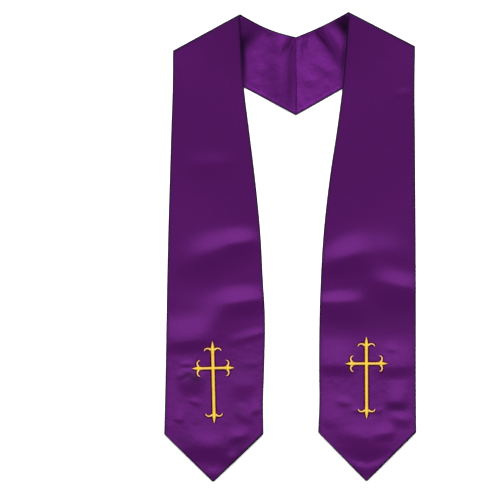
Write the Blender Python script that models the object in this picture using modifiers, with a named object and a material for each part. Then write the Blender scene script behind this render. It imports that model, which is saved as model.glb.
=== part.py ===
"""Choir stole, laid flat on a table with its two front panels folded over at the shoulders.

A stole is two satin bands, cut in one from the pointed hem to the centre back. Each band is a face and
a lining of the same satin, bagged out so that they meet edge to edge. Here the neck half of each band lies
on the table with its lining up, the band turns over at the shoulder, and the front panel lies on it with its
face up. The two bands meet in one seam at the centre back, and a gold cross is embroidered above each hem.

X runs across the stole, Y runs up it from hem to neck, and Z is up from the table. Left is the -X side.
"""

import math
from collections import namedtuple

import bmesh
import bpy
import numpy as np

MM = 0.001

# Cloth. Each layer carries half of the interlining, and the two layers of a band lie a seam's gap apart.
CLOTH = 1.0 * MM
SEAM_GAP = 0.3 * MM
BAND = 2 * CLOTH + SEAM_GAP

# Where each layer's middle lies, counted from the side of the band that the fold encloses.
LAYERS = {"lining": CLOTH / 2, "face": CLOTH + SEAM_GAP + CLOTH / 2}

# Shoulder fold: pressed flat at its outer end and left a little open at the neck.
PRESSED_RADIUS = SEAM_GAP / 2
NECK_RADIUS = 1.7 * MM
FOLD_STEPS = 6
LIFT_REACH = 105 * MM

# A front panel comes down from the neck half to the table over this distance.
DROP = 40 * MM

# Rows of a panel follow the pointed hem at first, and have straightened out at this share of its height.
HEM_RISE = 0.32

# Centre back seam.
SEAM_X = 7.0 * MM
SEAM_TOP = 266.5 * MM
SEAM_BOTTOM = 167.5 * MM

# Mesh: columns across a band, and rows in each stretch of it.
COLUMNS = 10
PANEL_STRETCHES = ((0.0, 0.57, 36), (0.57, 0.86, 9), (0.86, 1.0, 8))
NECK_ROWS = 16

# The shoulder's corner and its apex at the neck, the heights of the hem's corners and of the point below
# them, and how far the neck edge dips between shoulder and seam, in millimetres.
Side = namedtuple("Side", "name outer inner corner apex hem_corner hem_point neck_dip")

SIDES = (
    Side("left", "left_outer", "left_inner", (-149.3, 250.2), (-64.2, 296.6), -237.4, -298.5, 3.0),
    Side("right", "right_outer", "right_inner", (158.6, 255.2), (73.8, 298.7), -235.0, -297.8, 0.9),
)

# The cut edges of the two front panels at rising heights, in millimetres.
EdgeRow = namedtuple("EdgeRow", "height left_outer left_inner right_inner right_outer")

EDGES = (
    EdgeRow(-240, -160.3, -34.0, 35.0, 160.0),
    EdgeRow(-156, -158.4, -33.2, 36.4, 159.5),
    EdgeRow(-80, -157.2, -32.4, 37.1, 159.6),
    EdgeRow(12, -155.4, -37.5, 41.6, 159.3),
    EdgeRow(88, -153.2, -44.8, 49.9, 158.8),
    EdgeRow(149, -151.3, -52.3, 59.1, 158.3),
    EdgeRow(200, -149.6, -58.6, 65.8, 157.8),
)

# Soft ridges where the cloth lifts off what it lies on, in millimetres. The crest runs along the heading,
# in degrees from +X. The ridge falls off over "ahead" to the left of that heading and "behind" to its right.
Crease = namedtuple("Crease", "x y heading half_length ahead behind height")

PANEL_CREASES = (
    Crease(-88, -4, 15, 66, 28, 15, 3.2),
    Crease(-60, -74, 7, 44, 27, 14, 3.2),
    Crease(-124, -117, 20, 52, 30, 16, 2.8),
    Crease(-48, -109, 14, 34, 15, 13, 1.4),
    Crease(-120, -192, -4, 30, 20, 13, 1.5),
    Crease(-62, -196, 10, 30, 20, 12, 1.4),
    Crease(-98, -256, -6, 34, 26, 16, 1.5),
    Crease(64, -13, 24, 46, 30, 15, 3.2),
    Crease(126, -12, -4, 40, 28, 15, 1.7),
    Crease(138, -48, -7, 38, 22, 13, 2.6),
    Crease(60, -71, 4, 40, 20, 12, 2.6),
    Crease(62, -148, -5, 34, 26, 13, 1.5),
    Crease(134, -147, 6, 34, 26, 13, 1.5),
    Crease(134, -195, 2, 30, 24, 12, 2.0),
    Crease(66, -195, -3, 24, 20, 12, 1.4),
    Crease(98, -254, 3, 34, 26, 16, 1.6),
)

NECK_CREASES = (
    Crease(46, 248, -56, 40, 13, 20, 3.4),
    Crease(-38, 257, 68, 30, 14, 13, 1.9),
    Crease(-16, 222, 38, 34, 16, 16, 1.4),
    Crease(26, 214, -48, 32, 16, 16, 1.6),
)

# Embroidered cross: its bars, its spear points and the pair of hooks behind each point. Each hook is an arc
# about a centre that lies HOOK_OUT to the side of the bar and HOOK_BACK behind the point. Its inner and outer
# sides leave the bar at their own angles, in degrees from straight out, and meet at its free end.
CROSS_THICKNESS = 1.0 * MM
CROSS_LIFT = 0.42 * MM
UPRIGHT_HALF = 2.0 * MM
CROSSBAR_HALF = 1.7 * MM
FLARE_HALF = 2.4 * MM
ARM_UP = 34.2 * MM
ARM_DOWN = 70.0 * MM
ARM_SIDE = 26.7 * MM
BAR_STEP = 7.0 * MM
HOOK_RADIUS = 4.9 * MM
HOOK_OUT = 6.2 * MM
HOOK_BACK = 13.0 * MM
HOOK_HALF = 1.15 * MM
HOOK_END_HALF = 0.75 * MM
HOOK_STEPS = 6
HOOK_ROOT_INNER = 163
HOOK_ROOT_OUTER = 128
HOOK_END = 14
SPEAR_HALF = 2.6 * MM
SPEAR_STEPS = 3
SPEAR_TAPER = 0.75
WELD = 0.01 * MM

# Where each cross is centred, in millimetres, and how it leans, in degrees.
Cross = namedtuple("Cross", "side x y tilt")

CROSSES = (Cross("left", -97.9, -153.6, 1.3), Cross("right", 96.9, -147.8, 0.2))

Finish = namedtuple("Finish", "name colour roughness metallic")

SATIN_FACE = Finish("satin face", (0.105, 0.010, 0.140), 0.36, 0.0)
SATIN_LINING = Finish("satin lining", (0.125, 0.014, 0.165), 0.36, 0.0)
GOLD_THREAD = Finish("gold thread", (0.83, 0.50, 0.07), 0.45, 0.1)


def smooth(x):
    """0 below 0, 1 above 1, and an S curve between."""
    x = np.clip(x, 0, 1)
    return x * x * (3 - 2 * x)


def through(places, values, at):
    """A smooth curve through the rows of a table, by cubic pieces that share their slopes."""
    slopes = np.gradient(values, places)
    row = int(np.clip(np.searchsorted(places, at) - 1, 0, len(places) - 2))
    span = places[row + 1] - places[row]
    u = (at - places[row]) / span
    start = (1 + 2 * u) * (1 - u) ** 2 * values[row] + u * (1 - u) ** 2 * span * slopes[row]
    end = u * u * (3 - 2 * u) * values[row + 1] + u * u * (u - 1) * span * slopes[row + 1]
    return start + end


def creases(rows, x, y):
    """Height of the soft ridges at a point: each is 1 at its crest and 0 past its length and its widths."""
    total = 0.0
    for row in rows:
        heading = math.radians(row.heading)
        east, north = x - row.x * MM, y - row.y * MM
        along = (east * math.cos(heading) + north * math.sin(heading)) / (row.half_length * MM)
        across = north * math.cos(heading) - east * math.sin(heading)
        across /= (row.ahead if across > 0 else row.behind) * MM
        ridge = max(0.0, 1 - along * along) ** 2 * max(0.0, 1 - across * across) ** 2
        total += row.height * MM * ridge
    return total


def square_to(run):
    """Unit vector at right angles to a line across the stole, pointing up its length."""
    return np.array([-run[1], run[0]]) * np.sign(run[0]) / np.linalg.norm(run)


class Shoulder:
    """The fold line of one band, from its outer corner to its apex at the neck."""

    def __init__(self, side):
        self.corner = np.array(side.corner) * MM
        self.apex = np.array(side.apex) * MM
        self.length = np.linalg.norm(self.apex - self.corner)
        self.along = (self.apex - self.corner) / self.length
        self.away = square_to(self.along)

    def radius(self, t):
        """Inside radius of the fold, which opens towards the neck."""
        return PRESSED_RADIUS + (NECK_RADIUS - PRESSED_RADIUS) * t * t

    def walk(self, t, turn):
        """How far the band moves along the fold line in that turn, because it meets the line at a slant."""
        slant = self.along[1] / self.away[1]
        return (self.radius(t) + BAND / 2) * turn * slant

    def line(self, t):
        """A point of the line that the fold turns about, set in from the outline by the fold's own reach."""
        outline = self.corner + t * (self.apex - self.corner)
        return outline - self.away * (self.radius(t) + BAND) - self.along * self.walk(t, math.pi / 2)

    def neck_side(self, t):
        """Where the neck half of the band starts, once it has turned right over."""
        return self.line(t) + self.along * self.walk(t, math.pi)


def edge(side, column, t, height_share):
    """A point of one cut edge of a front panel, at a share of its height from the hem corner to the fold."""
    end = Shoulder(side).line(t)
    places = np.array([row.height * MM for row in EDGES] + [end[1]])
    values = np.array([getattr(row, column) * MM for row in EDGES] + [end[0]])
    hem = side.hem_corner * MM
    y = hem + height_share * (end[1] - hem)
    return np.array([through(places, values, y), y])


def panel_plan(side, t, v):
    """Plan of a front panel: ruled between its edges, t across from the outer edge, v up from the hem."""
    point = (1 - t) * edge(side, side.outer, 0, v) + t * edge(side, side.inner, 1, v)
    point_depth = (side.hem_corner - side.hem_point) * MM
    point[1] -= point_depth * (1 - abs(2 * t - 1)) * max(0, 1 - v / HEM_RISE)
    return point


def seam_end(side, y):
    """A point of the centre back seam, half a gap to this band's side of it."""
    return np.array([SEAM_X + math.copysign(SEAM_GAP / 2, side.corner[0]), y])


def neck_plan(side, t, v):
    """Plan of the neck half: ruled between its straight outer edge and its dipped neck edge."""
    shoulder = Shoulder(side)
    outer = (1 - v) * shoulder.neck_side(0) + v * seam_end(side, SEAM_BOTTOM)
    inner = (1 - v) * shoulder.neck_side(1) + v * seam_end(side, SEAM_TOP)
    inner[1] -= side.neck_dip * MM * math.sin(math.pi * v)
    return (1 - t) * outer + t * inner


def panel_underside(side, x, y):
    """How high a front panel's underside lies: on the neck half near the shoulder, then down on the table."""
    shoulder = Shoulder(side)
    point = np.array([x, y])
    neck_edge = shoulder.neck_side(0)
    above_edge = (point - neck_edge) @ square_to(seam_end(side, SEAM_BOTTOM) - neck_edge)
    resting = (BAND + SEAM_GAP) * smooth(1 + above_edge / DROP)
    from_fold = point - shoulder.line(0)
    t = np.clip(from_fold @ shoulder.along / shoulder.length, 0, 1)
    lift = 2 * (shoulder.radius(t) - PRESSED_RADIUS) * smooth(1 + from_fold @ shoulder.away / LIFT_REACH)
    return resting + lift + creases(PANEL_CREASES, x, y)


def band_points(side, middle):
    """Rows of points for one layer of a band, from the hem over the shoulder to the centre back."""
    shoulder = Shoulder(side)
    across = np.linspace(0, 1, COLUMNS + 1)
    rows = []
    for start, end, steps in PANEL_STRETCHES:
        for v in np.linspace(start, end, steps, endpoint=False):
            plan = [panel_plan(side, t, v) for t in across]
            rows.append([(x, y, panel_underside(side, x, y) + middle) for x, y in plan])
    for turn in np.linspace(0, math.pi, FOLD_STEPS + 1):
        row = []
        for t in across:
            reach = shoulder.radius(t) + middle
            plan = shoulder.line(t) + shoulder.along * shoulder.walk(t, turn)
            plan = plan + shoulder.away * reach * math.sin(turn)
            height = BAND + shoulder.radius(t) + reach * math.cos(turn)
            row.append((plan[0], plan[1], height))
        rows.append(row)
    for v in np.linspace(0, 1, NECK_ROWS + 1)[1:]:
        plan = [neck_plan(side, t, v) for t in across]
        rows.append([(x, y, BAND + creases(NECK_CREASES, x, y) - middle) for x, y in plan])
    return np.array(rows)


def new_collection(name):
    collection = bpy.data.collections.new(name)
    bpy.context.scene.collection.children.link(collection)
    return collection


def material(finish):
    made = bpy.data.materials.new(finish.name)
    made.use_nodes = True
    shader = made.node_tree.nodes["Principled BSDF"]
    shader.inputs["Base Color"].default_value = (*finish.colour, 1)
    shader.inputs["Roughness"].default_value = finish.roughness
    shader.inputs["Metallic"].default_value = finish.metallic
    return made


def band_layer(side, layer, satin, collection):
    """One layer of a band: a grid laid over the band's rows of points, then given its thickness."""
    points = band_points(side, LAYERS[layer])
    row_count, column_count = points.shape[:2]
    grid = bmesh.new()
    bmesh.ops.create_grid(grid, x_segments=row_count - 1, y_segments=column_count - 1, size=1)
    # create_grid lists its points column by column, with the row changing fastest.
    laid = points if side.name == "left" else points[:, ::-1]
    for vert, point in zip(grid.verts, laid.transpose(1, 0, 2).reshape(-1, 3)):
        vert.co = point
    bmesh.ops.recalc_face_normals(grid, faces=grid.faces)
    mesh = bpy.data.meshes.new(f"{layer}_{side.name}")
    grid.to_mesh(mesh)
    grid.free()
    mesh.shade_smooth()
    mesh.materials.append(satin)
    cloth = bpy.data.objects.new(mesh.name, mesh)
    wall = cloth.modifiers.new("wall", "SOLIDIFY")
    wall.thickness = CLOTH
    wall.offset = 0
    collection.objects.link(cloth)
    return cloth


def hook_arc(tip, degrees_from, degrees_to, start_half, end_half):
    """One side of a hook: an arc about the hook's centre, narrowing towards its free end."""
    arc = []
    for share in np.linspace(0, 1, HOOK_STEPS + 1):
        angle = math.radians(degrees_from + share * (degrees_to - degrees_from))
        radius = HOOK_RADIUS + start_half + share * (end_half - start_half)
        arc.append((HOOK_OUT + radius * math.cos(angle), tip - HOOK_BACK + radius * math.sin(angle)))
    return arc


def half_arm(tip, half, start):
    """Outline of one side of a cross arm, as (out, along) pairs from the crossing to the spear's point."""
    root = tip - HOOK_BACK
    steps = max(1, round((root - start) / BAR_STEP))
    bar = [(half, start + (root - start) * step / steps) for step in range(steps)]
    bar.append((FLARE_HALF, root))
    inner = hook_arc(tip, HOOK_ROOT_INNER, HOOK_END, -HOOK_HALF, -HOOK_END_HALF)
    outer = hook_arc(tip, HOOK_END, HOOK_ROOT_OUTER, HOOK_END_HALF, HOOK_HALF)
    neck = outer[-1][1]
    spear = []
    for step in range(1, SPEAR_STEPS + 1):
        share = step / SPEAR_STEPS
        spear.append((SPEAR_HALF * (1 - share) ** SPEAR_TAPER, neck + share * (tip - neck)))
    return bar + inner + outer + spear


def cross_outline():
    """The whole cross as one closed outline, arm by arm and clockwise from the left side of the upper arm."""
    upright = (UPRIGHT_HALF, CROSSBAR_HALF)
    crossbar = (CROSSBAR_HALF, UPRIGHT_HALF)
    arms = ((ARM_UP, *upright), (ARM_SIDE, *crossbar), (ARM_DOWN, *upright), (ARM_SIDE, *crossbar))
    outline = []
    for turn, (tip, width, start) in enumerate(arms):
        half = half_arm(tip, width, start)
        arm = [(-out, along) for out, along in half] + half[-2::-1]
        angle = -math.radians(90 * turn)
        for out, along in arm[:-1]:
            x = out * math.cos(angle) - along * math.sin(angle)
            y = out * math.sin(angle) + along * math.cos(angle)
            outline.append((x, y))
    return outline


def flat_cross(collection):
    """Mesh of the cross lying flat, in triangles short enough to bend with the cloth."""
    outline = cross_outline()
    curve = bpy.data.curves.new("cross outline", "CURVE")
    curve.dimensions = "2D"
    curve.fill_mode = "BOTH"
    curve.extrude = CROSS_THICKNESS / 2
    spline = curve.splines.new("POLY")
    spline.points.add(len(outline) - 1)
    for point, (x, y) in zip(spline.points, outline):
        point.co = (x, y, 0, 1)
    spline.use_cyclic_u = True
    pattern = bpy.data.objects.new("cross pattern", curve)
    collection.objects.link(pattern)
    bpy.context.view_layer.update()
    graph = bpy.context.evaluated_depsgraph_get()
    mesh = bpy.data.meshes.new_from_object(pattern.evaluated_get(graph))
    bpy.data.objects.remove(pattern)
    flat = bmesh.new()
    flat.from_mesh(mesh)
    bmesh.ops.remove_doubles(flat, verts=flat.verts, dist=WELD)
    sheets = [face for face in flat.faces if abs(round(face.normal.z)) == 1]
    inside = [edge for edge in flat.edges if set(sheets).issuperset(edge.link_faces)]
    bmesh.ops.beautify_fill(flat, faces=sheets, edges=inside)
    flat.to_mesh(mesh)
    flat.free()
    return mesh


def cross_piece(cross, side, gold, collection):
    """An embroidered cross, laid on the panel's face point by point."""
    mesh = flat_cross(collection)
    laid = bmesh.new()
    laid.from_mesh(mesh)
    tilt = math.radians(cross.tilt)
    for vert in laid.verts:
        x = cross.x * MM + vert.co.x * math.cos(tilt) - vert.co.y * math.sin(tilt)
        y = cross.y * MM + vert.co.x * math.sin(tilt) + vert.co.y * math.cos(tilt)
        rest = panel_underside(side, x, y) + BAND + CROSS_LIFT + CROSS_THICKNESS / 2
        vert.co = (x, y, rest + vert.co.z)
    bmesh.ops.recalc_face_normals(laid, faces=laid.faces)
    laid.to_mesh(mesh)
    laid.free()
    mesh.name = f"cross_{side.name}"
    mesh.materials.append(gold)
    piece = bpy.data.objects.new(mesh.name, mesh)
    collection.objects.link(piece)
    return piece


def main():
    for old in list(bpy.data.objects):
        bpy.data.objects.remove(old)
    stole = new_collection("choir stole")
    face_satin = material(SATIN_FACE)
    lining_satin = material(SATIN_LINING)
    gold = material(GOLD_THREAD)
    for side in SIDES:
        band_layer(side, "face", face_satin, stole)
        band_layer(side, "lining", lining_satin, stole)
        for cross in CROSSES:
            if cross.side == side.name:
                cross_piece(cross, side, gold, stole)


main()
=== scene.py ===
"""Looks of a choir stole of purple satin with two gold crosses, laid flat with its panels folded over.

X runs across the stole, Y runs up it from hem to neck, and Z is up from the table. Left is the -X side.
"""

import math
from collections import namedtuple

import bpy
import numpy as np
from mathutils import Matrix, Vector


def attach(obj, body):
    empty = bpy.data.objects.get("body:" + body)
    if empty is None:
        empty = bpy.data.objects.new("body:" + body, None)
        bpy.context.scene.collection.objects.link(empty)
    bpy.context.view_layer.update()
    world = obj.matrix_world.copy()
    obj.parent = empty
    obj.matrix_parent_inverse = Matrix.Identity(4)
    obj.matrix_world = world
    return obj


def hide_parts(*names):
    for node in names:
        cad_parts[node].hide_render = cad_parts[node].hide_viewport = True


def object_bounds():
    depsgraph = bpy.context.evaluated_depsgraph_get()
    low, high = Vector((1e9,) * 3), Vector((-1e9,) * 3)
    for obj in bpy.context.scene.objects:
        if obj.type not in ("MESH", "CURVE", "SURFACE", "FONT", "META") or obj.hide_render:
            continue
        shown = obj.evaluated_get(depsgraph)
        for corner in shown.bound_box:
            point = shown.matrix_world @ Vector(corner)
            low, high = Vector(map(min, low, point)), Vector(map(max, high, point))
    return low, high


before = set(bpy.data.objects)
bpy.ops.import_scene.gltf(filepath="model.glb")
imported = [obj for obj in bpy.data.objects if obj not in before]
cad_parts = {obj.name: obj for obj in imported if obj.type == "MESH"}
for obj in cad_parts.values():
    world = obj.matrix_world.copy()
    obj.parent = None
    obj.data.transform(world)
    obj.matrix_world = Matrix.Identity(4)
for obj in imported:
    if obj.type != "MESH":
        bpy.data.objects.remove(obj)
cad_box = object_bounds()
MM = 0.001

# Satin faces
# Each band of the stole has a face of glossy polyester satin, cut in one from the pointed hem to the centre
# back and bagged out with its lining. The band turns over at the shoulder, so the face is up on the front
# panel and down at the neck, and the seam allowances inside leave a low ridge along every edge.

# A band's thickness, the gap between a panel and the neck half under it, and the inside radius of the
# shoulder fold, which is pressed flat at its outer end and open at the neck.
BAND = 1.9 * MM
GAP = 0.2 * MM
PRESSED_RADIUS = 0.1 * MM
NECK_RADIUS = 1.7 * MM

# How far from the open fold a panel still stands higher, how far it takes to come down to the table from the
# neck half, and the share of its length over which the rows of its mesh straighten out from the pointed hem.
LIFT_REACH = 105 * MM
DROP = 170 * MM
HEM_RISE = 0.32

# Each hem's point lies off its panel's middle by this much in X.
POINT_SHIFT = -0.9 * MM

# The centre back seam: the gap that its two pressed edges leave, its place across the stole, and its ends.
SEAM_GAP = 0.02 * MM
SEAM_X = 7.0 * MM
SEAM_TOP = 267.1 * MM
SEAM_BOTTOM = 167.5 * MM

# The finished edges of the two panels at rising heights, in millimetres.
EdgeRow = namedtuple("EdgeRow", "height left_outer left_inner right_inner right_outer")

EDGES = (
    EdgeRow(-240, -160.3, -34.0, 35.0, 160.0),
    EdgeRow(-195, -159.2, -34.5, 36.7, 159.6),
    EdgeRow(-156, -158.4, -33.2, 36.4, 159.5),
    EdgeRow(-80, -157.2, -32.4, 37.1, 159.6),
    EdgeRow(-40, -156.5, -34.8, 38.6, 159.5),
    EdgeRow(12, -155.4, -37.5, 41.6, 159.3),
    EdgeRow(88, -153.2, -44.8, 49.9, 158.8),
    EdgeRow(149, -151.3, -52.3, 59.1, 158.3),
    EdgeRow(200, -149.6, -58.6, 65.8, 157.8),
)

# Soft ridges where the cloth lifts, in millimetres. The crest runs along the heading, in degrees from +X, and
# its ends bend by "bend" to the left. The ridge falls off over "ahead" to the left and "behind" to the right,
# both narrower along the heading by the share "taper". The foot on the right is sharp by the share "foot".
Crease = namedtuple("Crease", "x y heading half_length bend ahead behind height taper foot", defaults=(0, 0))

# Left panel: slack waves across its middle, a long curved one above the cross, and short puckers round it.
LEFT_CREASES = (
    Crease(-100, 106, 2, 44, 0, 24, 26, 0.36),
    Crease(-86, -2, 16, 64, -6, 36, 40, 1.22, 0.3),
    Crease(-114, -14, 24, 44, 0, 36, 32, 0.5),
    Crease(-64, 6, 7, 30, 0, 26, 20, 0.6),
    Crease(-58, -69, 5, 42, 0, 28, 24, 1.3),
    Crease(-112, -74, 2, 56, 0, 34, 44, 0.35),
    Crease(-91, -90, 40, 60, -14, 42, 56, 1.3),
    Crease(-130, -119, 6, 46, 0, 56, 20, 1.65),
    Crease(-57, -115, 13, 32, 0, 14, 12, 0.38),
    Crease(-42, -110, 12, 16, 0, 10, 8, 0.2),
    Crease(-125, -170, -6, 22, 0, 24, 28, 1.4),
    Crease(-135, -161, 27, 14, 0, 6, 6, 0.45),
    Crease(-131, -149, 4, 12, 0, 8, 5, 0.4),
    Crease(-121, -197, -20, 11, 0, 10, 6, 0.35),
    Crease(-141, -219, -8, 9, 0, 19, 6, 0.45),
    Crease(-61, -176, 15, 25, 0, 34, 25, 0.85),
    Crease(-52, -149, 8, 20, 0, 12, 8, 0.2),
    Crease(-44, -208, 4, 10, 0, 22, 7, 0.5),
    Crease(-60, -215, -30, 21, 4, 18, 9, 0.5),
    Crease(-105, -252, -8, 36, 4, 30, 24, 1.0),
    Crease(-66, -241, 10, 17, 0, 16, 11, 0.8),
    Crease(-75, -269, 10, 16, 0, 16, 9, 1.5),
    Crease(-98, -288, -5, 16, 0, 12, 10, 0.45),
)

# Right panel: slack waves across its middle, then puckers on each side of the cross and along the hem.
RIGHT_CREASES = (
    Crease(143, 195, 6, 15, 0, 12, 10, 0.2),
    Crease(66, -15, 20, 46, 0, 36, 30, 1.45, -0.2),
    Crease(99, -9, 9, 58, 0, 48, 80, 0.85),
    Crease(128, -8, -4, 40, 0, 34, 60, 0.3),
    Crease(134, -50, -11, 50, 0, 32, 46, 1.7, 0.3),
    Crease(63, -70.5, 1, 46, 0, 22, 38, 1.35, -0.3),
    Crease(58, -150, -4, 34, 0, 44, 18, 1.2),
    Crease(134, -152, 5, 36, 0, 44, 18, 1.1),
    Crease(129, -130, -5, 11, 0, 12, 7, 0.25),
    Crease(135, -196, -3, 18, 0, 38, 11, 1.2, 0, 0.6),
    Crease(60, -213, -3, 44, 0, 46, 60, 0.6),
    Crease(68, -197, -8, 12, 0, 10, 10, 0.5),
    Crease(84, -208, -5, 8, 0, 6, 5, 0.3),
    Crease(112, -208, 5, 8, 0, 6, 5, 0.3),
    Crease(140, -218, -14, 17, 0, 14, 14, 0.7),
    Crease(52, -222, -12, 19, 0, 20, 12, 0.18),
    Crease(120, -237, 8, 19, 0, 18, 13, 0.8),
    Crease(88, -241, -6, 42, 3, 30, 22, 0.8),
    Crease(97, -280, 0, 20, 0, 12, 18, 0.25),
)

# Each side, in millimetres: its shoulder's corner and apex, the heights of its hem's corners and point, how
# far the neck edge dips and the neck's lower edge bows up, and the height below which its panel is slack and
# crumpled. "across" is the way in X from its outer edge to its inner edge. "curl" is the share of the fall
# towards the hem's point that the hem's edge makes up by curling.
Side = namedtuple(
    "Side", "name across outer inner corner apex hem_corner hem_point neck_dip neck_bow slack curl creases"
)

LEFT = Side(
    name="left",
    across=1,
    outer="left_outer",
    inner="left_inner",
    corner=(-149.3, 249.9),
    apex=(-64.2, 296.3),
    hem_corner=-237.4,
    hem_point=-298.5,
    neck_dip=3.6,
    neck_bow=0.8,
    slack=-90,
    curl=0.1,
    creases=LEFT_CREASES,
)
RIGHT = Side(
    name="right",
    across=-1,
    outer="right_outer",
    inner="right_inner",
    corner=(158.6, 255.6),
    apex=(73.8, 299.3),
    hem_corner=-235.0,
    hem_point=-297.8,
    neck_dip=1.6,
    neck_bow=-0.7,
    slack=-108,
    curl=0.72,
    creases=RIGHT_CREASES,
)

# Neck: folds that fan out from each shoulder, gathers at the neck edge, and puckers along the centre back
# seam.
NECK_CREASES = (
    Crease(37.3, 290.5, -56.6, 84, 0, 20, 13.5, 2.6, 0, 1),
    Crease(47, 250, -55, 34, 0, 3, 4, 0.13),
    Crease(46, 268, -63, 26, 0, 5, 5, 0.3),
    Crease(78, 297, -50, 36, 0, 8, 12, 2.2, 0, 1),
    Crease(-60, 296, -28, 36, 0, 10, 32, 2.6),
    Crease(-26, 271, 50, 6, 0, 6, 3, 0.2),
    Crease(-11, 235, 92, 110, 0, 34, 18, 2.1, 0, 1),
    Crease(-5, 262, 66, 22, 0, 30, 6, 0.5, 0, 1),
    Crease(19.5, 268, -88, 18, 0, 4, 4, 0.5, 0, 1),
    Crease(-30, 228, 40, 20, 0, 16, 12, 0.15),
    Crease(42, 228, -35, 18, 0, 16, 12, 0.2),
    Crease(24, 213, -35, 18, 0, 16, 12, 0.2),
    Crease(14, 182, -60, 14, 0, 8, 7, 0.12),
)

# Neck: along the centre back seam it rises this far towards its lower edge, and the rise dies out this far to
# either side of the seam.
NECK_RISE = 1.5 * MM
NECK_RISE_HALF = 66 * MM

# Places on the neck where the lining is painted dark as shade, and made rougher: under the inner edges of the
# panels, along the folds, and at the gathers of the centre back seam. Each has two radii in millimetres, the
# heading of the first in degrees from +X, and how dark and dull it is, from 0 to 1.
Dull = namedtuple("Dull", "x y first second turn dulling")

NECK_SHADE_AND_DULL = (
    Dull(-58, 262, 22, 11, 42, 0.8),
    Dull(-28, 272, 15, 4.5, -27, 0.4),
    Dull(-60.5, 243, 26, 5, -86, 0.75),
    Dull(-58.7, 222, 50, 2.6, -86.7, 0.5),
    Dull(69, 280, 16, 9, -80, 0.95),
    Dull(63, 283, 9, 8, 0, 0.6),
    Dull(43, 260.5, 14, 3.0, -52, 0.5),
    Dull(34.5, 268, 9, 3.2, -52, 0.5),
    Dull(-3, 257, 14, 7, 80, 0.2),
    Dull(-8, 253.5, 8.5, 1.8, 66, 0.5),
    Dull(2, 252.5, 9.5, 1.8, 74, 0.5),
    Dull(14.8, 254, 9, 1.4, 88, 0.4),
    Dull(-0.8, 215, 46, 4.4, 90, 0.4),
    Dull(-6, 222, 40, 8, 90, 0.12),
    Dull(-7, 192, 22, 8, 75, 0.2),
    Dull(15, 250, 14, 4, 85, 0.2),
    Dull(62, 289, 13, 6, 28, 0.5),
    Dull(67.5, 245, 26, 3.5, 85, 0.5),
    Dull(66.3, 222, 50, 2.4, 85.4, 0.4),
    Dull(50, 279, 10, 6, 35, 0.22),
)

# Places on the panels where the face is painted dark as shade, and made rougher, in the same way: in creases,
# round the crosses and along the right outer edge.
PANEL_SHADE_AND_DULL = (
    Dull(160, 40, 280, 8, 90, 0.22),
    Dull(136, -202, 16, 5, 0, 0.36),
    Dull(67, -200, 9, 3.5, -5, 0.15),
    Dull(97, -210, 17, 2.5, 0, 0.25),
    Dull(107, -91, 46, 14, 0, 0.18),
    Dull(-120.5, -167.5, 10, 5, -10, 0.65),
    Dull(-135.6, -165.3, 9, 2, 30, 0.35),
    Dull(-129, -161, 9, 3.2, -10, 0.5),
    Dull(-62, -156, 26, 18, 0, 0.18),
    Dull(-66, -207, 20, 5, -25, 0.22),
    Dull(-68, -251, 22, 8, 8, 0.22),
    Dull(-136, -247, 14, 10, 0, 0.18),
)

# Each layer stands this far off the band's middle, and higher over the seam allowance. It rolls in to a
# share of that height where it meets the other layer at the edge, and its own thickness is another share.
LAYER_HEIGHT = 0.85 * MM
ALLOWANCE_RISE = 0.04 * MM
ALLOWANCE_WIDTH = 4.2 * MM
ALLOWANCE_STEP = 1.0 * MM
EDGE_ROLL = 0.9 * MM
EDGE_SHARE = 0.1
LAYER_THICKNESS_SHARE = 0.45

# At the centre back seam the layers roll in over a shorter way: distances from it count this many times over.
SEAM_SHARPNESS = 6

# The seam draws the edges up in small waves: their height, how far in they die out, and their lengths.
PUCKER = 0.13 * MM
PUCKER_REACH = 3.0 * MM
PUCKER_LENGTHS = np.array([6.7, 9.1, 12.7]) * MM

# The pressed shoulder fold is painted dark as shade, and made rougher, over this distance, and so, by a
# share, is every pressed edge.
FOLD_SHADE_REACH = 6 * MM
EDGE_SHADE_REACH = 5.5 * MM
EDGE_SHADE_SHARE = 0.3

# The crumples of a slack panel fade in over this distance.
SLACK_FADE = 25 * MM

# A slack panel bellies up towards its hem, because its lining is a little tight: heights at distances below
# the place where it becomes slack, in millimetres.
BELLY = ((-30, 0), (0, 0.12), (30, 0.85), (80, 2.5), (140, 4.85), (220, 6))

# Between the hem's corners and its point the belly falls again by a share of its height. The fall starts at
# this share of the way and takes the next one. A strip this wide along the hem curls up and falls less. The
# curl starts to die out at this share of the way and takes the next one, so the point lies down.
POINT_FALL = 0.32
FALL_START = 0.28
FALL_RUN = 0.34
CURL_WIDTH = 16 * MM
CURL_END = 0.6
CURL_END_RUN = 0.3

# Mesh: columns and rows close together at these distances from the edges, and evenly spaced ones between. The
# distances count as shares of HEM_RUN on the panel and of SEAM_RUN on the neck half.
EDGE_STEPS = np.array([0, 0.12, 0.3, 0.55, 0.85, 1.2, 1.8, 2.8, 3.6, 4.2, 4.8, 5.6, 7.0]) * MM
MIDDLE_COLUMNS = 50
PANEL_ROWS = 290
FOLD_ROWS = 16
NECK_ROWS = 84
HEM_RUN = 400 * MM
SEAM_RUN = 112 * MM


def smooth(x):
    """0 below 0, 1 above 1, and an S curve between: x squared times (3 - 2x)."""
    x = np.clip(x, 0, 1)
    return x * x * (3 - 2 * x)


def through(places, values, at):
    """A smooth curve through a table: cubic pieces that share their slopes where they meet."""
    slopes = np.gradient(values, places)
    row = np.clip(np.searchsorted(places, at) - 1, 0, len(places) - 2)
    span = places[row + 1] - places[row]
    u = (at - places[row]) / span
    start = (1 + 2 * u) * (1 - u) ** 2 * values[row] + u * (1 - u) ** 2 * span * slopes[row]
    end = u * u * (3 - 2 * u) * values[row + 1] + u * u * (u - 1) * span * slopes[row + 1]
    return start + end


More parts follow.
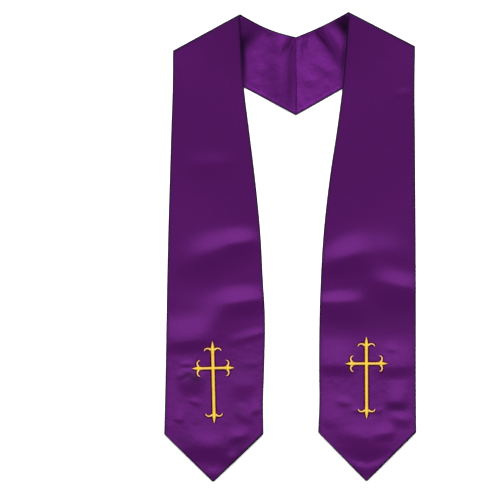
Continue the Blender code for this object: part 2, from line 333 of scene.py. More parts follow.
def creases(rows, x, y):
    """Sum of soft ridges. Each is height * (1 - along^2)^2 times a profile across it, which is
    (1 - across)^3 * (1 + 3 across), steepest a third of the way down, or 1 - across^2 where its foot is
    sharp."""
    total = np.zeros(np.shape(x))
    for row in rows:
        heading = math.radians(row.heading)
        east, north = x / MM - row.x, y / MM - row.y
        along = (east * math.cos(heading) + north * math.sin(heading)) / row.half_length
        across = north * math.cos(heading) - east * math.sin(heading) - row.bend * along**2
        foot = row.foot * (across < 0)
        reach = np.where(across > 0, row.ahead, row.behind)
        across = np.minimum(1, np.abs(across / reach / (1 - row.taper * np.clip(along, -1, 1))))
        profile = (1 - foot) * (1 - across) ** 3 * (1 + 3 * across) + foot * (1 - across**2)
        total += row.height * MM * np.maximum(0, 1 - along**2) ** 2 * profile
    return total


def square_to(run):
    """Unit vector at right angles to a line across the stole, pointing up its length."""
    return np.array([-run[1], run[0]]) * np.sign(run[0]) / np.linalg.norm(run)


class Shoulder:
    """The fold line of one band, from its outer corner (t = 0) to its apex at the neck (t = 1)."""

    def __init__(self, side):
        self.corner = np.array(side.corner) * MM
        self.apex = np.array(side.apex) * MM
        self.length = np.linalg.norm(self.apex - self.corner)
        self.along = (self.apex - self.corner) / self.length
        self.away = square_to(self.along)

    def radius(self, t):
        """Inside radius of the fold, which opens with the square of t."""
        return PRESSED_RADIUS + (NECK_RADIUS - PRESSED_RADIUS) * t * t

    def reach(self, t):
        """Radius to the band's middle."""
        return self.radius(t) + BAND / 2

    def walk(self, t, turn):
        """Shift along the fold line in that turn, because the band meets the line at a slant."""
        shift = self.reach(t) * turn * self.along[1] / self.away[1]
        return shift[..., None] * self.along

    def line(self, t):
        """A point of the line that the fold turns about, set in from the outline by the fold's own reach."""
        outline = self.corner + t[..., None] * (self.apex - self.corner)
        return outline - self.away * (self.radius(t) + BAND)[..., None] - self.walk(t, math.pi / 2)


def edge(side, column, t, v):
    """A finished edge of a panel: y rises evenly with v to the fold line, and x follows the table."""
    end = Shoulder(side).line(np.array(float(t)))
    places = np.array([row.height * MM for row in EDGES] + [end[1]])
    values = np.array([getattr(row, column) * MM for row in EDGES] + [end[0]])
    hem = side.hem_corner * MM
    y = hem + v * (end[1] - hem)
    return np.stack([through(places, values, y), y], axis=-1)


def seam_end(side, y):
    """A point of the centre back seam, half its gap to this band's side of it."""
    return np.array([SEAM_X - side.across * SEAM_GAP / 2, y])


def above_hem(side, x, y):
    """How far a point lies inside the V of the hem, square to it."""
    outer = edge(side, side.outer, 0, np.zeros(1))[0, 0]
    inner = edge(side, side.inner, 1, np.zeros(1))[0, 0]
    half_width = abs(outer - inner) / 2
    depth = (side.hem_corner - side.hem_point) * MM
    hem = side.hem_point * MM + depth * np.abs(x - (outer + inner) / 2 - POINT_SHIFT) / half_width
    return (y - hem) * half_width / math.hypot(half_width, depth)


def panel_rise(side, x, y):
    """How high a panel's underside lies: on the neck half, down to the table, and up over its creases."""
    shoulder = Shoulder(side)
    point = np.stack([x, y], axis=-1)
    corner = np.array(0.0)
    neck_edge = shoulder.line(corner) + shoulder.walk(corner, math.pi)
    above_edge = (point - neck_edge) @ square_to(seam_end(side, SEAM_BOTTOM) - neck_edge)
    resting = (BAND + GAP) * smooth(1 + above_edge / DROP)
    from_fold = point - shoulder.line(corner)
    t = np.clip(from_fold @ shoulder.along / shoulder.length, 0, 1)
    opening = 2 * (shoulder.radius(t) - PRESSED_RADIUS)
    lift = opening * smooth(1 + from_fold @ shoulder.away / LIFT_REACH)
    below, heights = np.array(BELLY).T * MM
    belly = through(below, heights, np.clip(side.slack * MM - y, below[0], below[-1]))
    to_point = (side.hem_corner * MM - y) / ((side.hem_corner - side.hem_point) * MM)
    near_hem = 1 - smooth(above_hem(side, x, y) / CURL_WIDTH)
    curl = side.curl * near_hem * (1 - smooth((to_point - CURL_END) / CURL_END_RUN))
    belly *= 1 - POINT_FALL * smooth((to_point - FALL_START) / FALL_RUN) * (1 - curl)
    return resting + lift + belly + creases(side.creases, x, y)


def panel_part(side, t, v):
    """Panel: ruled between its edges, and lowered towards the hem's point by a V that fades out with v.
    Returns the place of the band's middle and the place of the same point on the flat cut."""
    outer = edge(side, side.outer, 0, v)
    inner = edge(side, side.inner, 1, v)
    plan = outer + t[..., None] * (inner - outer)
    depth = (side.hem_corner - side.hem_point) * MM
    to_point = (1 - np.abs(2 * t - 1)) * np.maximum(0, 1 - v / HEM_RISE)
    plan[..., 0] += POINT_SHIFT * to_point
    plan[..., 1] -= depth * to_point
    height = panel_rise(side, plan[..., 0], plan[..., 1]) + BAND / 2
    return np.dstack([plan, height]), plan


def fold_part(side, t, turn):
    """Shoulder fold: half a turn about the fold line, at the radius of the band's middle."""
    shoulder = Shoulder(side)
    start = shoulder.line(t) + shoulder.walk(t, turn)
    reach = shoulder.reach(t)
    plan = start + shoulder.away * (reach * np.sin(turn))[..., None]
    height = BAND + shoulder.radius(t) + reach * np.cos(turn)
    return np.dstack([plan, height]), start + shoulder.away * (reach * turn)[..., None]


def neck_part(side, t, v):
    """Neck half: ruled between its outer edge, which bows up or down as sin(pi v), and its neck edge, which
    dips as sin(pi v). Its flat place is its mirror image in the fold line, moved on by the fold's length."""
    shoulder = Shoulder(side)
    ends = np.array([0.0, 1.0])
    first = shoulder.line(ends) + shoulder.walk(ends, math.pi)
    outer = (1 - v[..., None]) * first[0] + v[..., None] * seam_end(side, SEAM_BOTTOM)
    inner = (1 - v[..., None]) * first[1] + v[..., None] * seam_end(side, SEAM_TOP)
    outer[..., 1] += side.neck_bow * MM * np.sin(math.pi * v)
    inner[..., 1] -= side.neck_dip * MM * np.sin(math.pi * v)
    plan = outer + t[..., None] * (inner - outer)
    x, y = plan[..., 0], plan[..., 1]
    near_seam = np.maximum(0, 1 - ((x - SEAM_X) / NECK_RISE_HALF) ** 2)
    rise = NECK_RISE * near_seam * np.clip((SEAM_TOP - y) / (SEAM_TOP - SEAM_BOTTOM), 0, 1)
    height = BAND / 2 + rise + creases(NECK_CREASES, x, y)
    from_line = plan - shoulder.line(t)
    mirrored = plan - 2 * (from_line @ shoulder.away)[..., None] * shoulder.away
    return np.dstack([plan, height]), mirrored + shoulder.away * (math.pi * shoulder.reach(t))[..., None]


def unit(vectors):
    """Vectors of length 1."""
    return vectors / np.linalg.norm(vectors, axis=-1, keepdims=True)


def cross_2d(a, b):
    """The size of two flat vectors' cross product: one's length times the other's distance from it."""
    return np.abs(a[..., 0] * b[..., 1] - a[..., 1] * b[..., 0])


def column_shares(edges):
    """Shares across each row: near either edge they are at the same distances from it in every row, measured
    square to the edge, and the others are evenly spaced between."""
    ruling = edges[:, 1] - edges[:, 0]
    widths = [cross_2d(ruling, unit(np.gradient(edges[:, end], axis=0))) for end in (0, 1)]
    near = EDGE_STEPS / widths[0][:, None]
    far = 1 - EDGE_STEPS[::-1] / widths[1][:, None]
    between = np.linspace(0, 1, MIDDLE_COLUMNS + 2)[1:-1]
    middle = near[:, -1:] + (far[:, :1] - near[:, -1:]) * between
    return np.hstack([near, middle, far])


def edge_distances(side, flat, edges):
    """How far each point of the flat cut is from its nearest finished edge."""
    tangents = unit(np.gradient(edges, axis=0))
    sides = [cross_2d(flat - edges[:, end, None], tangents[:, end, None]) for end in (0, 1)]
    hem = np.abs(above_hem(side, flat[..., 0], flat[..., 1]))
    return np.minimum(np.minimum(*sides), hem)


def puckers(flat, distance):
    """Small waves along an edge: the mean of three sine waves, from 0 to 1, fading with the distance in."""
    run = flat.sum(axis=-1)[..., None]
    waves = np.sin(2 * math.pi * run / PUCKER_LENGTHS + np.arange(3)).mean(axis=-1)
    return PUCKER * (0.5 + 0.5 * waves) * np.exp(-distance / PUCKER_REACH)


def shade_and_dullness(rows, x, y):
    """How much painted shade and dullness the cloth has, from 0 to 1: 1 less the product over the places of
    1 - its share * exp(-r^2), with r the distance from the place in its own radii."""
    bright = np.ones(np.shape(x))
    for row in rows:
        turn = math.radians(row.turn)
        east, north = x / MM - row.x, y / MM - row.y
        along = (east * math.cos(turn) + north * math.sin(turn)) / row.first
        across = (north * math.cos(turn) - east * math.sin(turn)) / row.second
        bright *= 1 - row.dulling * np.exp(-(along**2) - across**2)
    return 1 - bright


def band(side):
    """One band from hem to centre back, by row and column: its middle surface, its normals on the face's
    side, the places on the flat cut, how far from an edge and how slack it is, and how much painted shade and
    dullness it has."""
    near_hem = EDGE_STEPS / HEM_RUN
    near_seam = 1 - EDGE_STEPS[::-1] / SEAM_RUN
    panel_rows = np.concatenate([near_hem, np.linspace(near_hem[-1], 1, PANEL_ROWS + 1)[1:-1]])
    neck_rows = np.concatenate([np.linspace(0, near_seam[0], NECK_ROWS + 1)[1:-1], near_seam])
    stretches = (
        (panel_part, panel_rows),
        (fold_part, np.linspace(0, math.pi, FOLD_ROWS + 1)),
        (neck_part, neck_rows),
    )
    ends = np.array([[0.0, 1.0]])
    edges = np.concatenate(
        [part(side, ends + 0 * rows[:, None], rows[:, None])[1] for part, rows in stretches]
    )
    shares = column_shares(edges)
    starts = np.cumsum([len(rows) for part, rows in stretches])[:-1]
    laid = [
        part(side, t, rows[:, None] + 0 * t)
        for (part, rows), t in zip(stretches, np.split(shares, starts))
    ]
    middle = np.concatenate([place for place, flat in laid])
    flat = np.concatenate([flat for place, flat in laid])
    is_neck = np.arange(len(middle))[:, None] >= starts[1]
    distance = edge_distances(side, flat, edges)
    seam = np.where(is_neck, np.abs(middle[..., 0] - seam_end(side, 0)[0]), np.inf)
    distance = np.minimum(distance, SEAM_SHARPNESS * seam)
    middle[..., 2] += puckers(flat, distance)
    slack = np.where(is_neck, 1, smooth((side.slack * MM - middle[..., 1]) / SLACK_FADE))
    along_row = np.gradient(middle, axis=1)
    along_column = np.gradient(middle, axis=0)
    normals = side.across * unit(np.cross(along_row, along_column))
    shoulder = Shoulder(side)
    inset = (shoulder.corner - middle[..., :2]) @ shoulder.away
    x, y = middle[..., 0], middle[..., 1]
    # Painted shade, with dullness: the listed dark places, the shoulder fold and the edges.
    dull = np.where(is_neck, shade_and_dullness(NECK_SHADE_AND_DULL, x, y), shade_and_dullness(PANEL_SHADE_AND_DULL, x, y))
    dull = np.maximum(dull, EDGE_SHADE_SHARE * (1 - smooth(distance / EDGE_SHADE_REACH)))
    dull = np.maximum(dull, 1 - smooth(inset / FOLD_SHADE_REACH))
    return middle, normals, flat, {"edge_distance": distance, "slack": slack, "dull": dull}


def layer_height(distance):
    """How far a layer stands off the band's middle: a quarter ellipse at the edge, the allowance's ridge, and
    a step down to the plain height."""
    near = 1 - np.clip(distance / EDGE_ROLL, 0, 1)
    roll = EDGE_SHARE + (1 - EDGE_SHARE) * np.sqrt(1 - near**2)
    ridge = smooth((ALLOWANCE_WIDTH + ALLOWANCE_STEP / 2 - distance) / ALLOWANCE_STEP)
    return (LAYER_HEIGHT + ALLOWANCE_RISE * ridge) * roll


def shell(name, outside, inside, flat, values):
    """A closed mesh between two grids of points. Its UV map is the flat cut in metres, and each named array
    of values becomes an attribute."""
    rows, columns = outside.shape[:2]
    number = np.arange(rows * columns).reshape(rows, columns)
    quads = np.stack([number[:-1, :-1], number[:-1, 1:], number[1:, 1:], number[1:, :-1]], axis=-1)
    quads = quads.reshape(-1, 4)
    ring = np.concatenate([number[0, :-1], number[:-1, -1], number[-1, :0:-1], number[:0:-1, 0]])
    following = np.roll(ring, -1)
    wall = np.stack([following, ring, ring + number.size, following + number.size], axis=-1)
    faces = np.concatenate([quads, quads[:, ::-1] + number.size, wall])
    normal = np.cross(outside[0, 1] - outside[0, 0], outside[1, 0] - outside[0, 0])
    if normal @ (outside[0, 0] - inside[0, 0]) < 0:
        faces = faces[:, ::-1]
    points = np.concatenate([outside.reshape(-1, 3), inside.reshape(-1, 3)])
    mesh = bpy.data.meshes.new(name)
    mesh.from_pydata(points.tolist(), [], faces.tolist())
    corners = np.concatenate([flat.reshape(-1, 2)] * 2)[faces.ravel()]
    mesh.uv_layers.new(name="flat").data.foreach_set("uv", corners.ravel())
    for title, value in values.items():
        both = np.concatenate([value.ravel()] * 2)
        mesh.attributes.new(title, "FLOAT", "POINT").data.foreach_set("value", both)
    mesh.shade_smooth()
    piece = bpy.data.objects.new(name, mesh)
    bpy.context.scene.collection.objects.link(piece)
    return piece


class Wire:
    """A socket of a material's nodes. Sums and products of wires add the Math nodes that work them out."""

    def __init__(self, tree, socket=None):
        self.tree = tree
        self.socket = socket

    def node(self, kind, settings, inputs, output=0):
        """Adds a node: its settings first, then the values or wires of its inputs. Returns one output."""
        made = self.tree.nodes.new(kind)
        for name, value in settings.items():
            setattr(made, name, value)
        for name, value in inputs.items():
            if isinstance(value, Wire):
                self.tree.links.new(value.socket, made.inputs[name])
            else:
                made.inputs[name].default_value = value
        return Wire(self.tree, made.outputs[output])

    def maths(self, operation, first, second):
        """Works out one sum or product of two values or wires."""
        return self.node("ShaderNodeMath", {"operation": operation}, {0: first, 1: second})

    def __add__(self, other):
        return self.maths("ADD", self, other)

    def __radd__(self, other):
        return self.maths("ADD", other, self)

    def __mul__(self, other):
        return self.maths("MULTIPLY", self, other)

    def __rmul__(self, other):
        return self.maths("MULTIPLY", other, self)

    def blend(self, first, second):
        """Mixes two colours, with this wire as the share of the second."""
        settings = {"data_type": "RGBA"}
        return self.node("ShaderNodeMix", settings, {0: self, 6: first, 7: second}, output=2)

    def rise(self, start, end):
        """0 where this wire is below the start, 1 above the end, and an S curve between."""
        inputs = {"Value": self, "From Min": start, "From Max": end}
        return self.node("ShaderNodeMapRange", {"interpolation_type": "SMOOTHSTEP"}, inputs)


def new_material(name, constants):
    """A material with those constants on its shader's own sockets, and a wire to start its nodes from."""
    made = bpy.data.materials.new(name)
    made.use_nodes = True
    shader = made.node_tree.nodes["Principled BSDF"]
    for socket, value in constants.items():
        shader.inputs[socket].default_value = value
    return made, shader, Wire(made.node_tree)


# Satin. Its long floats reflect in the cloth's own colour, so most of its gloss is a metal's. It has one
# roughness where it is flat and one where it is slack. Its dull places are rougher still and painted darker,
# as painted shade in tucks, folds and creases. Between these two distances from an edge it is painted dark,
# as painted shade where it rolls in to the seam.
FACE_COLOUR = (0.0385, 0.0025, 0.0518, 1)
FACE_METAL = 0.377
FACE_ROUGHNESS = (0.2, 0.24)
SATIN_GLOSS = {"Specular IOR Level": 0.1, "Specular Tint": (0.6, 0.42, 1.0, 1)}
# The near-black colour that the dull places take is painted shade.
PAINTED_SHADE_COLOUR = (0.002, 0.0002, 0.003, 1)
DULL_ROUGHNESS = 0.3
# The near-black edge colour is painted shade where the satin rolls in at its edges.
EDGE_SHADE_COLOUR = (0.0064, 0.0008, 0.009, 1)
EDGE_SHADE_RANGE = (1.2 * MM, 2.1 * MM)

# Slubs: how many come in a metre across and along the band, and how they shade the colour. Crumples: how many
# come in a metre, and how deep they are.
SLUB_SCALE = (900, 60, 0)
SLUB_DEEPER = 0.9
SLUB_LIGHTER = 1.1
CRUMPLE_SCALE = 85.0
CRUMPLE = 0.19 * MM


def satin(name, colour, metal, roughness):
    """Glossy satin with faint slubs along its length, painted nearly black as shade where it rolls in at the
    edge and at its dull places, which are rougher too, and finely crumpled where it is slack."""
    made, shader, start = new_material(name, SATIN_GLOSS)
    flat = start.node("ShaderNodeUVMap", {"uv_map": "flat"}, {})
    stretched = start.node("ShaderNodeVectorMath", {"operation": "MULTIPLY"}, {0: flat, 1: SLUB_SCALE})
    slub = start.node("ShaderNodeTexNoise", {}, {"Vector": stretched, "Scale": 1.0, "Detail": 2.0})
    distance = start.node("ShaderNodeAttribute", {"attribute_name": "edge_distance"}, {}, output=2)
    # Near an edge the colour turns near black: painted shade on the roll.
    off_edge = distance.rise(*EDGE_SHADE_RANGE)
    deeper = tuple(SLUB_DEEPER * part for part in colour[:3]) + (1,)
    lighter = tuple(SLUB_LIGHTER * part for part in colour[:3]) + (1,)
    dull = start.node("ShaderNodeAttribute", {"attribute_name": "dull"}, {}, output=2)
    # Dull places blend to a near-black colour: painted shade.
    cloth = dull.blend(slub.blend(deeper, lighter), PAINTED_SHADE_COLOUR)
    made.node_tree.links.new(off_edge.blend(EDGE_SHADE_COLOUR, cloth).socket, shader.inputs["Base Color"])
    made.node_tree.links.new((off_edge * metal).socket, shader.inputs["Metallic"])
    slack = start.node("ShaderNodeAttribute", {"attribute_name": "slack"}, {}, output=2)
    plain, crumpled = roughness
    spread = plain + (crumpled - plain) * slack + DULL_ROUGHNESS * dull
    made.node_tree.links.new(spread.socket, shader.inputs["Roughness"])
    crumple = start.node("ShaderNodeTexNoise", {}, {"Vector": flat, "Scale": CRUMPLE_SCALE, "Detail": 2.0})
    bump = start.node("ShaderNodeBump", {}, {"Height": crumple * slack, "Strength": 1.0, "Distance": CRUMPLE})
    made.node_tree.links.new(bump.socket, shader.inputs["Normal"])
    return made


# The box that each band is cut from, in metres, and its own area, in square metres, with no seam allowance.
Cut = namedtuple("Cut", "box area")

face_satin = satin("face satin", FACE_COLOUR, FACE_METAL, FACE_ROUGHNESS)
bands = {}
for side in (LEFT, RIGHT):
    bands[side.name] = band(side)
    middle, normals, flat, values = bands[side.name]
    height = layer_height(values["edge_distance"])[..., None]
    outside = middle + normals * height
    inside = middle + normals * height * (1 - LAYER_THICKNESS_SHARE)
    face = shell(f"satin_face_{side.name}", outside, inside, flat, values)
    face.data.materials.append(face_satin)
    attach(face, "root")
    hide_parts(f"face_{side.name}")

# Satin linings
# Each lining is the same cut in a slightly shinier satin, sewn to its face all round and turned through.
# It lies under the panel and comes up on top at the neck, where the light catches its creases.

LINING_COLOUR = (0.0513, 0.0050, 0.0718, 1)
LINING_METAL = 0.76
LINING_ROUGHNESS = (0.22, 0.24)

lining_satin = satin("lining satin", LINING_COLOUR, LINING_METAL, LINING_ROUGHNESS)
for side in (LEFT, RIGHT):
    middle, normals, flat, values = bands[side.name]
    height = layer_height(values["edge_distance"])[..., None]
    outside = middle - normals * height
    inside = middle - normals * height * (1 - LAYER_THICKNESS_SHARE)
    lining = shell(f"satin_lining_{side.name}", outside, inside, flat, values)
    lining.data.materials.append(lining_satin)
    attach(lining, "root")
    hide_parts(f"lining_{side.name}")

# Embroidered crosses
# Each cross is worked in gold thread before the band is made up: satin stitch laid side by side across its
# bars, spear points and hooks, over a padding that rounds it. A dark strip along its edges is painted shadow
# of the stitches on the satin.

# Bars, in millimetres. The crossbar's arms start just inside the upright's edge, and their ends are smaller
# than the upright's by a scale.
UPRIGHT_HALF = 2.0
CROSSBAR_HALF = 1.65
CROSSBAR_START = 0.8 * UPRIGHT_HALF
ARM_UP = 34.2
ARM_DOWN = 70.0
ARM_SIDE = 26.7
SIDE_SCALE = 0.82

# The spear at each arm's tip, whose width goes with a power of the distance, and the flare behind it.
SPEAR_HALF = 2.3
SPEAR_LENGTH = 8.6
SPEAR_TAPER = 0.8
FLARE_HALF = 2.2
FLARE_START = 12.4
FLARE_LENGTH = 4.0

# Each hook is an arc of an ellipse about a centre that lies HOOK_OUT to the side of the bar and HOOK_BACK
# behind the tip. It is HOOK_RISE high, HOOK_INNER wide towards the bar and HOOK_OUTER wide away from it. It
# runs from its root on the bar to its free end, in degrees, and its last stretch is rounded off by a share.
HOOK_OUT = 6.6
HOOK_BACK = 13.0
HOOK_INNER = 5.0
HOOK_OUTER = 4.1
HOOK_RISE = 3.9
HOOK_ROOT = 150
HOOK_END = 12
HOOK_HALF = 1.45
HOOK_END_HALF = 0.65
ROUND_START = 0.88
ROUND_RUN = 0.12
ROUNDING = 0.8

# The gold is richer over this distance at the crossing, and at the flare, this far behind each tip.
RICH_REACH = 3.4
RICH_FLARE = 10.0

# Where each cross is centred, in millimetres, and how far it leans, in degrees.
Cross = namedtuple("Cross", "side x y tilt")
CROSSES = (Cross(LEFT, -98.2, -153.6, 1.3), Cross(RIGHT, 96.6, -147.8, 0.2))

# Stitches, in millimetres: their spacing, how far they wander, and half a strand's width and height. They
# slant by a share of their half length, and strands are slimmer at their ends by a share.
PITCH = 0.4
WANDER = 0.05
THREAD_HALF = 0.24
THREAD_HEIGHT = 0.15
SLANT = 0.12
SLIMMER = 0.35

# The padding rounds them by a share of their half length, up to this height in millimetres.
PADDING = 0.75
PADDING_SHARE = 0.42

# The places along a stitch where its rings lie, from end to end.
STATIONS = np.linspace(-1, 1, 7)

# The strip of painted shadow beside them: its width and height in millimetres, and how many rings it has.
STRIP_WIDTH = 1.6
STRIP_HEIGHT = 0.06
STRIP_RINGS = 40


def arm_half(from_tip, bar_half, scale):
    """Half width of an arm at a distance from its tip: a spear as a power of the distance, then a flare that
    eases into the bar, both shorter by the scale."""
    from_tip = from_tip / scale
    spear = SPEAR_HALF * np.clip(from_tip / SPEAR_LENGTH, 0, 1) ** SPEAR_TAPER
    widening = smooth((FLARE_START + FLARE_LENGTH - from_tip) / FLARE_LENGTH)
    flare = bar_half + (FLARE_HALF - bar_half) * widening
    return np.where(from_tip < SPEAR_LENGTH, spear, flare)


def arm_path(tip, bar_half, scale, start):
    """Centres, directions, half lengths and richness of the stitches of an arm that points up, from its start
    to its tip. Richness is exp(-r^2), with r the distance from the crossing or the flare in units of its
    reach."""
    along = np.arange(start, tip - PITCH / 2, PITCH)
    centres = np.stack([np.zeros_like(along), along], axis=-1)
    directions = np.broadcast_to([0.0, 1.0], centres.shape)
    from_flare = (tip - along) / scale - RICH_FLARE
    rich = np.exp(-((along / RICH_REACH) ** 2)) + np.exp(-((from_flare / RICH_REACH) ** 2))
    return centres, directions, arm_half(tip - along, bar_half, scale), rich


def hook_path(tip, scale, hand):
    """The same for one hook of that arm: an arc from its root on the bar to its free end, which narrows with
    the square of the share still to go. A smaller arm's hooks stand nearer by a third of its shortening."""
    steps = math.ceil(HOOK_INNER * math.radians(HOOK_ROOT - HOOK_END) / PITCH)
    share = np.linspace(0, 1, steps)
    angle = np.radians(HOOK_ROOT + share * (HOOK_END - HOOK_ROOT))
    spread = (2 + scale) / 3
    radius = np.where(np.cos(angle) < 0, HOOK_INNER, HOOK_OUTER)
    out = spread * (HOOK_OUT + radius * np.cos(angle))
    centres = np.stack([hand * out, tip - HOOK_BACK * scale + HOOK_RISE * np.sin(angle)], axis=-1)
    directions = unit(np.stack([hand * spread * radius * np.sin(angle), -HOOK_RISE * np.cos(angle)], axis=-1))
    end = np.sqrt(1 - smooth((share - ROUND_START) / ROUND_RUN) * ROUNDING)
    half = (HOOK_END_HALF + (1 - share) ** 2 * (HOOK_HALF - HOOK_END_HALF)) * end
    return centres, directions, half, np.zeros(steps)


def cross_paths(cross):
    """All the stitch paths of a cross, arm by arm, turned and moved to their place on the panel."""
    paths = []
    upper = (ARM_UP, UPRIGHT_HALF, 1, 0)
    lower = (ARM_DOWN, UPRIGHT_HALF, 1, 0)
    sideways = (ARM_SIDE, CROSSBAR_HALF, SIDE_SCALE, CROSSBAR_START)
    for quarter, (tip, bar_half, scale, start) in enumerate((upper, sideways, lower, sideways)):
        angle = math.radians(cross.tilt - 90 * quarter)
        turn = np.array([[math.cos(angle), math.sin(angle)], [-math.sin(angle), math.cos(angle)]])
        hooks = [hook_path(tip, scale, hand) for hand in (-1, 1)]
        for centres, directions, half, rich in (*hooks, arm_path(tip, bar_half, scale, start)):
            paths.append((centres @ turn + (cross.x, cross.y), directions @ turn, half, rich))
    return paths


def on_face(side, plan, height):
    """Points at a height above the face of a panel, all in metres, from their plan in millimetres."""
    x, y = plan[..., 0] * MM, plan[..., 1] * MM
    surface = panel_rise(side, x, y) + BAND / 2 + LAYER_HEIGHT
    return np.stack([x, y, surface + height * MM], axis=-1)


def tubes(name, points, uv, values):
    """Many closed tubes in one mesh, from points by tube, ring and place round the ring, with four places to
    a ring. Their UV map gives each corner its place on the tube, and each named array of values, one to a
    tube, becomes an attribute."""
    count, rings, places = points.shape[:3]
    number = np.arange(rings * places).reshape(rings, places)
    turned = np.roll(number, -1, axis=1)
    walls = np.stack([number[:-1], number[1:], turned[1:], turned[:-1]], axis=-1).reshape(-1, 4)
    one = np.concatenate([walls, number[:1], number[-1:, ::-1]])
    faces = (one + np.arange(count)[:, None, None] * rings * places).reshape(-1, 4)
    mesh = bpy.data.meshes.new(name)
    mesh.from_pydata(points.reshape(-1, 3).tolist(), [], faces.tolist())
    mesh.uv_layers.new(name="thread").data.foreach_set("uv", uv.reshape(-1, 2)[faces.ravel()].ravel())
    for title, value in values.items():
        spread = np.repeat(value, rings * places)
        mesh.attributes.new(title, "FLOAT", "POINT").data.foreach_set("value", spread)
    mesh.shade_smooth()
    piece = bpy.data.objects.new(name, mesh)
    bpy.context.scene.collection.objects.link(piece)
    return piece


def stitches(cross, paths, chance):
    """Satin stitches: four-sided strands across the paths, domed over the padding as (1 - s^2)^0.5, with s
    from -1 to 1 along the stitch, and drawn down into the satin at their ends as s^8."""
    centres, directions, half, rich = (np.concatenate(parts) for parts in zip(*paths))
    count = len(half)
    across = np.stack([directions[:, 1], -directions[:, 0]], axis=-1)
    half = half + chance.uniform(-WANDER, WANDER, count)
    centres = centres + directions * chance.uniform(-WANDER, WANDER, (count, 1))
    reach = (across + SLANT * directions) * half[:, None]
    line = centres[:, None] + reach[:, None] * STATIONS[:, None]
    dome = np.minimum(PADDING, PADDING_SHARE * half)[:, None] * np.sqrt(1 - STATIONS**2)
    dome = dome + THREAD_HEIGHT * (1 - 2 * STATIONS**8) + chance.uniform(0, WANDER, (count, 1))
    ring = ((0, 1), (1, 0), (0, -1), (-1, 0))
    slim = 1 - SLIMMER * STATIONS**4
    points = np.empty((count, len(STATIONS), 4, 3))
    for place, (sideways, up) in enumerate(ring):
        plan = line + directions[:, None] * (sideways * THREAD_HALF * slim)[:, None]
        points[:, :, place] = on_face(cross.side, plan, dome + up * THREAD_HEIGHT)
    uv = np.stack(np.broadcast_arrays(half[:, None, None] * STATIONS[:, None], np.arange(4) / 4), axis=-1)
    thin = np.clip((UPRIGHT_HALF - half) / (UPRIGHT_HALF - HOOK_END_HALF), 0, 1)
    values = {"shade": chance.uniform(0, 1, count), "thin": thin, "rich": rich}
    return tubes(f"cross_stitches_{cross.side.name}", points, uv, values)


def stitch_shadow_strip(cross, paths):
    """Painted shadow of the stitches along each path: a thin dark flat tube a strip's width wider than the
    stitches.
    """
    tube_points = []
    for centres, directions, half, rich in paths:
        place = np.arange(len(half))
        spread = np.linspace(0, len(half) - 1, STRIP_RINGS)
        middle = np.stack([np.interp(spread, place, centres[:, axis]) for axis in (0, 1)], axis=-1)
        heading = np.stack([np.interp(spread, place, directions[:, axis]) for axis in (0, 1)], axis=-1)
        across = np.stack([heading[:, 1], -heading[:, 0]], axis=-1)
        width = (np.interp(spread, place, half) + STRIP_WIDTH)[:, None]
        ring = ((1, 1), (0, 2), (-1, 1), (0, -3))
        sides = [on_face(cross.side, middle + across * width * out, up * STRIP_HEIGHT) for out, up in ring]
        tube_points.append(np.stack(sides, axis=1))
    points = np.array(tube_points)
    uv = np.zeros(points.shape[:3] + (2,))
    return tubes(f"cross_stitch_shadow_{cross.side.name}", points, uv, {})


# Gold thread. Each strand has a shade of its own between deep and plain gold, its fibres add to it, and the
# gold is paler by a share where stitches are short and richer by a share where they are rich.
GOLD = (0.57, 0.376, 0.058, 1)
GOLD_DEEP = (0.49, 0.28, 0.022, 1)
GOLD_PALE = (0.56, 0.335, 0.2, 1)
GOLD_RICH = (0.54, 0.38, 0.008, 1)
GOLD_GLOSS = {"Roughness": 0.38, "Specular IOR Level": 0.4}
STRAND_SHARE = 0.6
FIBRE_SHARE = 0.4
PALE_SHARE = 0.8
RICH_SHARE = 0.9
FIBRE_SCALE = 9.0
FIBRE_DEPTH = 0.05 * MM
FIBRE_STRENGTH = 0.6

# A dark colour painted as the stitches' shadow on the satin.
STITCH_SHADOW_LOOK = {"Base Color": (0.052, 0.0025, 0.006, 1), "Roughness": 0.7, "Specular IOR Level": 0.02}

gold, shader, start = new_material("gold thread", GOLD_GLOSS)
place = start.node("ShaderNodeUVMap", {"uv_map": "thread"}, {})
shade = start.node("ShaderNodeAttribute", {"attribute_name": "shade"}, {}, output=2)
fibres = start.node("ShaderNodeTexNoise", {}, {"Vector": place, "Scale": FIBRE_SCALE, "Detail": 2.0})
thin = start.node("ShaderNodeAttribute", {"attribute_name": "thin"}, {}, output=2)
rich = start.node("ShaderNodeAttribute", {"attribute_name": "rich"}, {}, output=2)
plain_gold = (STRAND_SHARE * shade + FIBRE_SHARE * fibres).blend(GOLD_DEEP, GOLD)
paler_gold = (PALE_SHARE * thin).blend(plain_gold, GOLD_PALE)
gold_colour = (RICH_SHARE * rich).blend(paler_gold, GOLD_RICH)
gold.node_tree.links.new(gold_colour.socket, shader.inputs["Base Color"])
relief = {"Height": fibres, "Strength": FIBRE_STRENGTH, "Distance": FIBRE_DEPTH}
bump = start.node("ShaderNodeBump", {}, relief)
gold.node_tree.links.new(bump.socket, shader.inputs["Normal"])
stitch_shadow_paint = new_material("painted stitch shadow", STITCH_SHADOW_LOOK)[0]

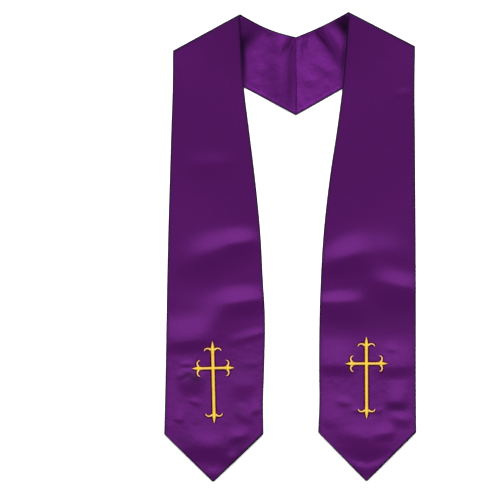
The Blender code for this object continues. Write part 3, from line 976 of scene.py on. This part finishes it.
chance = np.random.default_rng(12)
for cross in CROSSES:
    paths = cross_paths(cross)
    worked = stitches(cross, paths, chance)
    worked.data.materials.append(gold)
    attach(worked, "root")
    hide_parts(f"cross_{cross.side.name}")
    # A dark strip painted as the stitches' shadow on the satin.
    strip = stitch_shadow_strip(cross, paths)
    strip.data.materials.append(stitch_shadow_paint)
    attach(strip, "root")

# Table, light and camera
# The stole lies on a white table under one broad soft light from beyond its neck, in a white room, and the
# camera looks straight down at it.

TABLE_DROP = 0.05 * MM
TABLE_HALF = 12.0
TABLE_COLOUR = (0.96, 0.96, 0.96, 1)

low = cad_box[0].z - TABLE_DROP
corners = [(x * TABLE_HALF, y * TABLE_HALF, low) for x, y in ((-1, -1), (1, -1), (1, 1), (-1, 1))]
table_mesh = bpy.data.meshes.new("table")
table_mesh.from_pydata(corners, [], [(0, 1, 2, 3)])
table = bpy.data.objects.new("table", table_mesh)
bpy.context.scene.collection.objects.link(table)
table_paint = new_material("table paint", {"Base Color": TABLE_COLOUR, "Roughness": 0.9})[0]
table_mesh.materials.append(table_paint)

# The light's tilt from straight above, its apparent width in degrees, its strength, and the room's.
LIGHT_TILT = 31.5
LIGHT_WIDTH = 55
LIGHT_STRENGTH = 4.5
ROOM_STRENGTH = 1.0

softbox = bpy.data.lights.new("softbox", "SUN")
softbox.energy = LIGHT_STRENGTH
softbox.angle = math.radians(LIGHT_WIDTH)
lamp = bpy.data.objects.new("softbox", softbox)
lamp.rotation_euler = (-math.radians(LIGHT_TILT), 0, 0)
bpy.context.scene.collection.objects.link(lamp)
room = bpy.data.worlds.new("white room")
room.use_nodes = True
room.node_tree.nodes["Background"].inputs["Color"].default_value = (1, 1, 1, 1)
room.node_tree.nodes["Background"].inputs["Strength"].default_value = ROOM_STRENGTH
bpy.context.scene.world = room
bpy.context.scene.view_settings.view_transform = "Standard"

# The photograph shows 635 mm of the table each way, around this middle.
FIELD = 635 * MM
CAMERA_MIDDLE = (-51.24 * MM, -3.49 * MM)
CAMERA_HEIGHT = 20.0

camera_data = bpy.data.cameras.new("camera")
camera_data.lens = camera_data.sensor_width * CAMERA_HEIGHT / FIELD
camera = bpy.data.objects.new("camera", camera_data)
camera.location = (*CAMERA_MIDDLE, CAMERA_HEIGHT)
bpy.context.scene.collection.objects.link(camera)
bpy.context.scene.camera = camera
